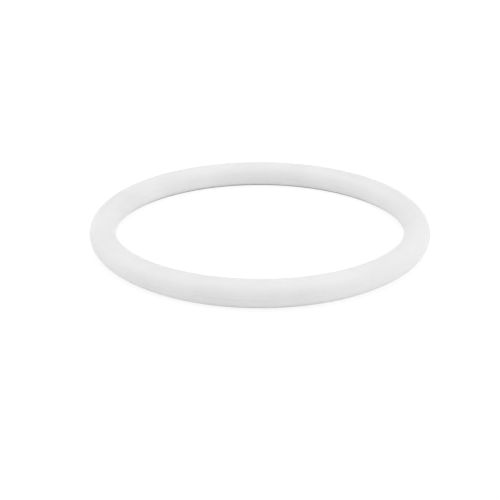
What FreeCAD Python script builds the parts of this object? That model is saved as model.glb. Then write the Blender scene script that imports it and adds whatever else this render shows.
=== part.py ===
import FreeCAD, Part

import math
import os

# Ring gasket, moulded in one piece from white silicone rubber.
# It is a closed ring of plain round section that lies flat on a table. In use it is squeezed
# between two faces, or sits in a groove around a spigot or inside a bore.
# Frame: +Z is the ring's axis, and the origin is the ring's centre, halfway through its thickness.
# All lengths are in millimetres.

INNER_DIAMETER = 57.0  # across the hole, before the witness line is counted
SECTION_DIAMETER = 5.0  # thickness of the round section
MEAN_RADIUS = (INNER_DIAMETER + SECTION_DIAMETER) / 2  # axis to the middle of the section
SECTION_RADIUS = SECTION_DIAMETER / 2

# The two mould halves meet at mid height. The trimmed flash leaves a low witness line
# with a narrow flat crest, once around the hole and once around the outside.
WITNESS_HEIGHT = 0.04  # how far the crest stands proud of the round section
WITNESS_CREST = 0.14  # width of the flat crest, along Z
WITNESS_FOOT = 0.26  # width where it leaves the round section, along Z


def on_section(angle_deg):
    """A point of the round section in the XZ plane. 0 degrees is outermost, 90 is the top."""
    a = math.radians(angle_deg)
    return FreeCAD.Vector(MEAN_RADIUS + SECTION_RADIUS * math.cos(a), 0, SECTION_RADIUS * math.sin(a))


foot_deg = math.degrees(math.asin(WITNESS_FOOT / 2 / SECTION_RADIUS))
outer_crest = MEAN_RADIUS + SECTION_RADIUS + WITNESS_HEIGHT
inner_crest = MEAN_RADIUS - SECTION_RADIUS - WITNESS_HEIGHT
crest_z = WITNESS_CREST / 2

outer_low, outer_high = on_section(-foot_deg), on_section(foot_deg)
inner_high, inner_low = on_section(180 - foot_deg), on_section(180 + foot_deg)
outer_crest_low = FreeCAD.Vector(outer_crest, 0, -crest_z)
outer_crest_high = FreeCAD.Vector(outer_crest, 0, crest_z)
inner_crest_high = FreeCAD.Vector(inner_crest, 0, crest_z)
inner_crest_low = FreeCAD.Vector(inner_crest, 0, -crest_z)

top, bottom = on_section(90), on_section(270)

# The round section is drawn as four arcs that meet smoothly. Two of them meet at the top and two
# at the bottom, so the circles where a flange touches the ring are edges of the solid.
edges = [
    Part.Arc(outer_high, on_section(45), top).toShape(),
    Part.Arc(top, on_section(135), inner_high).toShape(),
    Part.LineSegment(inner_high, inner_crest_high).toShape(),
    Part.LineSegment(inner_crest_high, inner_crest_low).toShape(),  # crest around the hole
    Part.LineSegment(inner_crest_low, inner_low).toShape(),
    Part.Arc(inner_low, on_section(225), bottom).toShape(),
    Part.Arc(bottom, on_section(315), outer_low).toShape(),
    Part.LineSegment(outer_low, outer_crest_low).toShape(),
    Part.LineSegment(outer_crest_low, outer_crest_high).toShape(),  # crest around the outside
    Part.LineSegment(outer_crest_high, outer_high).toShape(),
]

section = Part.Face(Part.Wire(edges))
turned = section.revolve(FreeCAD.Vector(0, 0, 0), FreeCAD.Vector(0, 0, 1), 360)
gasket_ring = turned if turned.ShapeType == "Solid" else Part.Solid(turned.Shells[0])
if gasket_ring.Volume < 0:
    gasket_ring.reverse()

assert gasket_ring.isValid() and gasket_ring.isClosed()
round_volume = 2 * math.pi**2 * MEAN_RADIUS * SECTION_RADIUS**2
box = gasket_ring.optimalBoundingBox(False, False)
print("solids", len(gasket_ring.Solids), "faces", len(gasket_ring.Faces))
print("volume mm3", round(gasket_ring.Volume, 2), "plain torus", round(round_volume, 2))
print("box mm", round(box.XLength, 3), round(box.YLength, 3), round(box.ZLength, 3))
print("crest radii mm", round(inner_crest, 3), round(outer_crest, 3))

os.makedirs("parts", exist_ok=True)
gasket_ring.exportStep("parts/gasket_ring.step")
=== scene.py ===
import math

import bpy
import numpy as np
from mathutils import Matrix, Vector


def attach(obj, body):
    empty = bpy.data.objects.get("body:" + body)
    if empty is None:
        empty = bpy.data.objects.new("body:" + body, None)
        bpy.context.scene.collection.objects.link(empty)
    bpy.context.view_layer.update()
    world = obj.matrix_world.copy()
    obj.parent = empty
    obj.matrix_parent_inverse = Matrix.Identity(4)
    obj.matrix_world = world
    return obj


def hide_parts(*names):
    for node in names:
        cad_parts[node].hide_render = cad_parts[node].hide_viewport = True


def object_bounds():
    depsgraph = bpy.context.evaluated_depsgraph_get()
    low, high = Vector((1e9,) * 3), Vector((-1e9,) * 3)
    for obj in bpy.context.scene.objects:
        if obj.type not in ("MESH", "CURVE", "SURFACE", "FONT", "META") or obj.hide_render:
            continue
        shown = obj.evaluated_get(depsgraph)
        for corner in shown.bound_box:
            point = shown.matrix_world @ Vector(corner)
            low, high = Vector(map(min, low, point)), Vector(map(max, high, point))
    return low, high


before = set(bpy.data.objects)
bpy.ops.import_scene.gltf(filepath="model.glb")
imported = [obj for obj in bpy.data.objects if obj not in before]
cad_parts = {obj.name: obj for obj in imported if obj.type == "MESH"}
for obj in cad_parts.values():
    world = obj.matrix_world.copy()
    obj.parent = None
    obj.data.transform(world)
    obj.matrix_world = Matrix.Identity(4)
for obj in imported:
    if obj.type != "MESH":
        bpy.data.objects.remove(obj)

# White silicone ring gasket of round section, lying flat on a plain white floor.
# Everything is in metres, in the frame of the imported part: +Z is the ring's axis, and the origin
# is the ring's centre, halfway through its thickness.

cad_low, cad_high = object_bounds()
MM = 0.001

# ---------------------------------------------------------------- sizes, in millimetres
THICKNESS = (cad_high.z - cad_low.z) / MM  # of the round section
SECTION_RADIUS = THICKNESS / 2
WITNESS_HEIGHT = 0.04  # the witness line stands this far proud at most
MEAN_RADIUS = cad_high.x / MM - WITNESS_HEIGHT - SECTION_RADIUS
WITNESS_CREST = 0.14  # width of its crest
WITNESS_FOOT = 0.26  # width where it leaves the round section
FLOOR_Z = cad_low.z
GLOW = 0.834  # radiance of the light table itself


# ---------------------------------------------------------------- ring mesh
def closed_noise(turn, waves, seed, falloff=0.0):
    """A smooth wobble, from about -1 to 1, that closes on itself after one turn."""
    rng = np.random.default_rng(seed)
    total = np.zeros_like(turn)
    power = 0.0
    for n in waves:
        amount = n ** (-falloff)
        total += amount * np.cos(n * turn + rng.uniform(0, 2 * math.pi))
        power += amount**2
    return total / math.sqrt(power)


def ring_mesh(name, around=720, plain=84):
    """The ring as quads. Rows run around the axis, and each is one closed section.
    The section starts and ends underneath, where it touches the floor."""
    # angles around the section, measured from the bottom; 90 is outermost and 270 faces the hole
    step = 360 / plain
    flank = np.linspace(WITNESS_CREST / 2 - 0.008, WITNESS_FOOT / 2 + 0.008, 9)  # rows on the line's flanks
    fine = np.concatenate([[0.04], flank, [flank[-1] + 0.03]])
    fine = np.degrees(np.arcsin(np.concatenate([-fine[::-1], [0], fine]) / SECTION_RADIUS))
    angles = np.arange(plain) * step
    for middle in (90, 270):
        angles = angles[np.abs(angles - middle) > fine[-1] + 0.3 * step]
        angles = np.concatenate([angles, middle + fine])
    angles = np.radians(np.sort(angles))
    turn = np.arange(around) * 2 * math.pi / around
    A, T = np.meshgrid(angles, turn)  # rows: place around the axis

    # the witness line: its height breathes a little and its middle wanders by a few hundredths,
    # and the fine rows follow it
    outside = np.cos(A - math.pi / 2) > 0
    height = np.where(
        outside,
        0.56 + 0.10 * closed_noise(T, range(3, 60), 11, 0.35),
        0.54 + 0.10 * closed_noise(T, range(3, 60), 12, 0.35),
    ).clip(0.25, 1.0) * WITNESS_HEIGHT
    wander = np.where(
        outside,
        0.014 * closed_noise(T, range(2, 24), 13, 0.5),
        0.014 * closed_noise(T, range(2, 24), 14, 0.5),
    )
    near = 1 - ((np.abs(np.cos(A)) * SECTION_RADIUS - WITNESS_FOOT) / 0.8).clip(0, 1)
    A = A + np.where(outside, 1, -1) * wander / SECTION_RADIUS * near * near * (3 - 2 * near)
    away = np.abs(-np.cos(A) * SECTION_RADIUS - wander)
    ramp = ((WITNESS_FOOT / 2 - away) / ((WITNESS_FOOT - WITNESS_CREST) / 2)).clip(0, 1)
    ramp = ramp * ramp * (3 - 2 * ramp)
    line = height * ramp

    # moulding ripple, hundredths of a millimetre, always inwards so that the size stays the CAD's
    ripple = 0.006 * (1 + 0.5 * closed_noise(T, range(4, 40), 21, 0.2) * np.cos(A + 0.6)
                      + 0.5 * closed_noise(T, range(6, 46), 22, 0.2) * np.sin(2 * A))
    ripple *= np.clip(np.abs(np.sin(A)) * 3, 0, 1)  # none at the top and the bottom
    radius = SECTION_RADIUS - ripple * (1 - ramp) + line

    reach = MEAN_RADIUS + np.sin(A) * radius
    co = np.stack([reach * np.cos(T), reach * np.sin(T), -np.cos(A) * radius], -1).reshape(-1, 3) * MM

    rows, cols = T.shape
    i = np.arange(rows)[:, None] * cols
    j = np.arange(cols)[None]
    i2 = (np.arange(rows)[:, None] + 1) % rows * cols
    j2 = (j + 1) % cols
    quads = np.stack([i + j, i2 + j, i2 + j2, i + j2], -1).reshape(-1, 4)

    me = bpy.data.meshes.new(name)
    me.vertices.add(len(co))
    me.vertices.foreach_set("co", co.astype(np.float32).ravel())
    me.loops.add(quads.size)
    me.loops.foreach_set("vertex_index", quads.astype(np.int32).ravel())
    me.polygons.add(len(quads))
    me.polygons.foreach_set("loop_start", np.arange(0, quads.size, 4, dtype=np.int32))
    me.update(calc_edges=True)

    # four strips, each a quarter of the ring, laid above each other; the cut is underneath, and the
    # witness lines get four times their share of the strip's width
    strips, margin = 4, 0.012
    along = (np.arange(rows)[:, None] + np.array([0, 1, 1, 0])[None]) / rows * strips
    strip = (np.arange(rows) * strips // rows)[:, None]
    u = (along - strip)[:, None, :].repeat(cols, 1)
    lap = np.append(angles, angles[0] + 2 * math.pi)
    middle_z = np.abs(np.cos((lap[1:] + lap[:-1]) / 2)) * SECTION_RADIUS
    width = np.diff(lap) * np.where(middle_z < 0.2, 4, 1)
    lap = np.concatenate([[0], np.cumsum(width)]) / width.sum()
    across = np.stack([lap[:-1], lap[:-1], lap[1:], lap[1:]], -1)[None].repeat(rows, 0)
    v = (strip[:, :, None] + margin + (1 - 2 * margin) * across) / strips
    uv = np.stack([0.002 + 0.996 * u, v], -1).reshape(-1)
    layer = me.uv_layers.new(name="OFBake")
    layer.data.foreach_set("uv", uv.astype(np.float32))

    me.polygons.foreach_set("use_smooth", np.ones(len(quads), bool))
    me.validate()
    me.update()
    return me


ring = bpy.data.objects.new("silicone_ring", ring_mesh("silicone_ring"))
bpy.context.scene.collection.objects.link(ring)
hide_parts("gasket_ring")
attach(ring, "root")


# ---------------------------------------------------------------- materials
def add(tree, kind, x, y, **values):
    node = tree.nodes.new(kind)
    node.location = (x, y)
    for name, value in values.items():
        if hasattr(node, name):
            setattr(node, name, value)
        else:
            node.inputs[name.replace("_", " ")].default_value = value
    return node


def new_material(name):
    mat = bpy.data.materials.new(name)
    mat.use_nodes = True
    mat.node_tree.nodes.clear()
    out = mat.node_tree.nodes.new("ShaderNodeOutputMaterial")
    out.location = (900, 0)
    shader = mat.node_tree.nodes.new("ShaderNodeBsdfPrincipled")
    shader.location = (600, 0)
    mat.node_tree.links.new(shader.outputs["BSDF"], out.inputs["Surface"])
    return mat, mat.node_tree, shader


def noise(tree, place, scale, detail, x, y, rough=0.5):
    """Noise whose grain is about 1/scale metres."""
    node = add(tree, "ShaderNodeTexNoise", x, y, Scale=scale, Detail=detail, Roughness=rough)
    tree.links.new(place, node.inputs["Vector"])
    return node.outputs["Fac"]


def spread(tree, value, low, high, to_low, to_high, x, y):
    node = add(tree, "ShaderNodeMapRange", x, y)
    for name, number in (("From Min", low), ("From Max", high), ("To Min", to_low), ("To Max", to_high)):
        node.inputs[name].default_value = number
    tree.links.new(value, node.inputs["Value"])
    return node.outputs["Result"]


def silicone():
    mat, tree, shader = new_material("silicone")
    link = tree.links.new
    place = add(tree, "ShaderNodeTexCoord", -1500, 0).outputs["Object"]

    # milky clouds in the rubber, some centimetres and some millimetres wide
    clouds = noise(tree, place, 90, 2, -1250, 420)
    milk = noise(tree, place, 620, 3, -1250, 200)
    mixed = add(tree, "ShaderNodeMath", -1000, 320, operation="MULTIPLY_ADD")
    link(milk, mixed.inputs[0])
    mixed.inputs[1].default_value = 0.4
    link(clouds, mixed.inputs[2])
    ramp = add(tree, "ShaderNodeValToRGB", -760, 320)
    ramp.color_ramp.elements[0].position = 0.50
    ramp.color_ramp.elements[0].color = (0.711, 0.711, 0.711, 1)
    ramp.color_ramp.elements[1].position = 0.92
    ramp.color_ramp.elements[1].color = (0.744, 0.744, 0.744, 1)
    link(mixed.outputs[0], ramp.inputs["Fac"])
    link(ramp.outputs["Color"], shader.inputs["Base Color"])

    # the mould's satin finish: patches a little more or less polished, and a duller witness line,
    # where the flash was rubbed off
    patches = noise(tree, place, 260, 3, -1250, -60)
    satin = spread(tree, patches, 0.3, 0.7, 0.50, 0.60, -760, -60)
    height = add(tree, "ShaderNodeSeparateXYZ", -1250, -200)
    link(place, height.inputs[0])
    level = add(tree, "ShaderNodeMath", -1000, -200, operation="ABSOLUTE")
    link(height.outputs["Z"], level.inputs[0])
    rubbed = spread(tree, level.outputs[0], WITNESS_CREST / 2 * MM, WITNESS_FOOT / 2 * MM, 0.14, 0.0, -760, -200)
    finish = add(tree, "ShaderNodeMath", -500, -100, operation="ADD")
    link(satin, finish.inputs[0])
    link(rubbed, finish.inputs[1])
    link(finish.outputs[0], shader.inputs["Roughness"])

    # fine grain of the mould, about a micrometre high, and a faint orange peel
    grain = noise(tree, place, 5200, 2, -1250, -400)
    peel = noise(tree, place, 900, 2, -1250, -600)
    grain_bump = add(tree, "ShaderNodeBump", 0, -320, Strength=0.35, Distance=0.000025)
    link(grain, grain_bump.inputs["Height"])
    peel_bump = add(tree, "ShaderNodeBump", 240, -420, Strength=0.4, Distance=0.00007)
    link(peel, peel_bump.inputs["Height"])
    link(grain_bump.outputs["Normal"], peel_bump.inputs["Normal"])
    link(peel_bump.outputs["Normal"], shader.inputs["Normal"])

    shader.inputs["IOR"].default_value = 1.41
    shader.inputs["Specular IOR Level"].default_value = 0.3
    shader.inputs["Subsurface Weight"].default_value = 0.3
    shader.inputs["Subsurface Radius"].default_value = (1.0, 1.0, 1.0)
    shader.inputs["Subsurface Scale"].default_value = 0.0005
    shader.inputs["Subsurface Anisotropy"].default_value = 0.2
    return mat


ring.data.materials.append(silicone())


def light_table(name, shade):
    """A matt white table that is lit from inside, so that no wide shadow lies on it. Its glow is held
    back on a narrow circle under the ring, the line of contact, which is a painted contact shadow.
    Shade is the share of the glow that is missing beside that line, a painted shade that comes back within 4 mm."""
    mat, tree, shader = new_material(name)
    link = tree.links.new
    place = add(tree, "ShaderNodeTexCoord", -1200, 0).outputs["Object"]
    fibre = noise(tree, place, 40, 3, -650, 200)
    ramp = add(tree, "ShaderNodeValToRGB", -400, 200)
    ramp.color_ramp.elements[0].color = (0.17, 0.17, 0.17, 1)
    ramp.color_ramp.elements[1].color = (0.19, 0.19, 0.19, 1)
    link(fibre, ramp.inputs["Fac"])
    link(ramp.outputs["Color"], shader.inputs["Base Color"])

    flat = add(tree, "ShaderNodeVectorMath", -1000, -200, operation="MULTIPLY")
    flat.inputs[1].default_value = (1, 1, 0)
    link(place, flat.inputs[0])
    reach = add(tree, "ShaderNodeVectorMath", -800, -200, operation="LENGTH")
    link(flat.outputs["Vector"], reach.inputs[0])
    away = add(tree, "ShaderNodeMath", -600, -200, operation="SUBTRACT")
    away.inputs[1].default_value = (MEAN_RADIUS - 0.05) * MM
    link(reach.outputs["Value"], away.inputs[0])
    gap = add(tree, "ShaderNodeMath", -400, -200, operation="ABSOLUTE")
    link(away.outputs[0], gap.inputs[0])
    # painted contact shadow: the glow falls to 2% on a narrow circle under the ring's line of contact
    glow = spread(tree, gap.outputs[0], 0.42 * MM, 0.95 * MM, 0.02 * GLOW, GLOW, -200, -200)
    glow.node.interpolation_type = "SMOOTHSTEP"
    # painted shade: beside the ring the glow is cut by the share shade, and comes back within 4 mm
    painted_shade = spread(tree, gap.outputs[0], 0.0, 4 * MM, 1 - shade, 1.0, -200, -700)
    painted_shade.node.interpolation_type = "SMOOTHSTEP"
    left = add(tree, "ShaderNodeMath", 0, -500, operation="MULTIPLY")
    link(glow, left.inputs[0])
    link(painted_shade, left.inputs[1])
    # a little more glow far away, where the lamps don't reach, so that the table meets the tent unseen
    rise = spread(tree, reach.outputs["Value"], 0.15, 0.9, 0, 0.10, -200, -450)
    total = add(tree, "ShaderNodeMath", 100, -300, operation="ADD")
    link(left.outputs[0], total.inputs[0])
    link(rise, total.inputs[1])
    link(total.outputs[0], shader.inputs["Emission Strength"])

    shader.inputs["Emission Color"].default_value = (1, 1, 1, 1)
    shader.inputs["Roughness"].default_value = 1.0
    shader.inputs["Specular IOR Level"].default_value = 0.0
    return mat


# ---------------------------------------------------------------- floor
def floor(name, z, shade, half=3.0):
    me = bpy.data.meshes.new(name)
    me.from_pydata([(-half, -half, z), (half, -half, z), (half, half, z), (-half, half, z)], [], [(0, 1, 2, 3)])
    me.update()
    ob = bpy.data.objects.new(name, me)
    bpy.context.scene.collection.objects.link(ob)
    ob.data.materials.append(light_table(name, shade))
    return ob


# The table that is seen is white up to the line of contact, where its glow carries a painted contact shadow.
#  The light that reaches the ring comes from the one just below it, whose glow carries a painted shade within
#  4 mm of the ring. So the ring's underside darkens towards the table and no shadow shows on the table itself.
table = floor("floor", FLOOR_Z, 0.0)
table.visible_diffuse = table.visible_glossy = table.visible_transmission = table.visible_shadow = False
# this plane is seen only by the light, and its glow carries the painted shade beside the ring
table_light = floor("floor_light", FLOOR_Z - 0.01 * MM, 0.45)
table_light.visible_camera = False

# ---------------------------------------------------------------- light
# a white tent: it runs into the table without a seam at the horizon, and is darker higher up
world = bpy.data.worlds.new("white_tent")
world.use_nodes = True
sky = world.node_tree.nodes["Background"]
sky.inputs["Color"].default_value = (1, 1, 1, 1)
way = add(world.node_tree, "ShaderNodeTexCoord", -800, 0).outputs["Generated"]
height = add(world.node_tree, "ShaderNodeSeparateXYZ", -600, 0)
world.node_tree.links.new(way, height.inputs[0])
fade = add(world.node_tree, "ShaderNodeMapRange", -400, 0, interpolation_type="SMOOTHSTEP")
for name, number in (("From Min", 0.0), ("From Max", 0.5), ("To Min", 1.03), ("To Max", 0.59)):
    fade.inputs[name].default_value = number
world.node_tree.links.new(height.outputs["Z"], fade.inputs["Value"])
world.node_tree.links.new(fade.outputs["Result"], sky.inputs["Strength"])
bpy.context.scene.world = world


def softbox(name, azimuth, elevation, distance, width, depth, strength):
    """A square soft light aimed at the ring. Azimuth 0 is on the camera's side, 90 is on the right.
    Strength is the light's radiance, against 1 for plain white."""
    a, e = math.radians(azimuth), math.radians(elevation)
    way = Vector((math.sin(a) * math.cos(e), -math.cos(a) * math.cos(e), math.sin(e)))
    data = bpy.data.lights.new(name, "AREA")
    data.shape = "RECTANGLE"
    data.size, data.size_y = width, depth
    data.energy = strength * math.pi * width * depth
    ob = bpy.data.objects.new(name, data)
    bpy.context.scene.collection.objects.link(ob)
    ob.location = way * distance
    ob.rotation_mode = "QUATERNION"
    ob.rotation_quaternion = way.to_track_quat("Z", "Y")
    ob.visible_camera = False
    return ob


softbox("overhead", 0, 90, 0.7, 0.7, 0.7, 1.06)
softbox("left", -90, 42, 0.7, 0.4, 0.4, 2.29)
softbox("right_front", 45, 42, 0.7, 0.4, 0.4, 1.52)
softbox("right_low", 90, 14, 0.7, 0.4, 0.3, 1.84)


# ---------------------------------------------------------------- camera
def camera(distance, elevation, lens, pan, tilt, roll):
    """A camera that looks at the ring's centre and is then turned by pan, tilt and roll, in degrees."""
    e, p, t, r = (math.radians(x) for x in (elevation, pan, tilt, roll))
    ahead = Vector((0, math.cos(e), -math.sin(e)))
    up = Vector((0, math.sin(e), math.cos(e)))
    right = Vector((1, 0, 0))
    place = -ahead * distance
    ahead, right = ahead * math.cos(p) + right * math.sin(p), right * math.cos(p) - ahead * math.sin(p)
    ahead, up = ahead * math.cos(t) + up * math.sin(t), up * math.cos(t) - ahead * math.sin(t)
    right, up = right * math.cos(r) + up * math.sin(r), up * math.cos(r) - right * math.sin(r)
    data = bpy.data.cameras.new("camera")
    data.lens = lens
    data.sensor_fit = "HORIZONTAL"
    data.sensor_width = 36
    data.clip_start, data.clip_end = 0.01, 20
    ob = bpy.data.objects.new("camera", data)
    bpy.context.scene.collection.objects.link(ob)
    turn = Matrix((right, up, -ahead)).transposed()
    ob.matrix_world = Matrix.Translation(place) @ turn.to_4x4()
    bpy.context.scene.camera = ob
    return ob


camera(distance=0.216801, elevation=22.2249, lens=78.465, pan=-0.5061, tilt=-1.2921, roll=0.0649)

view = bpy.context.scene.view_settings
view.view_transform = "Standard"
view.look = "None"
view.exposure, view.gamma = 0.0, 1.0
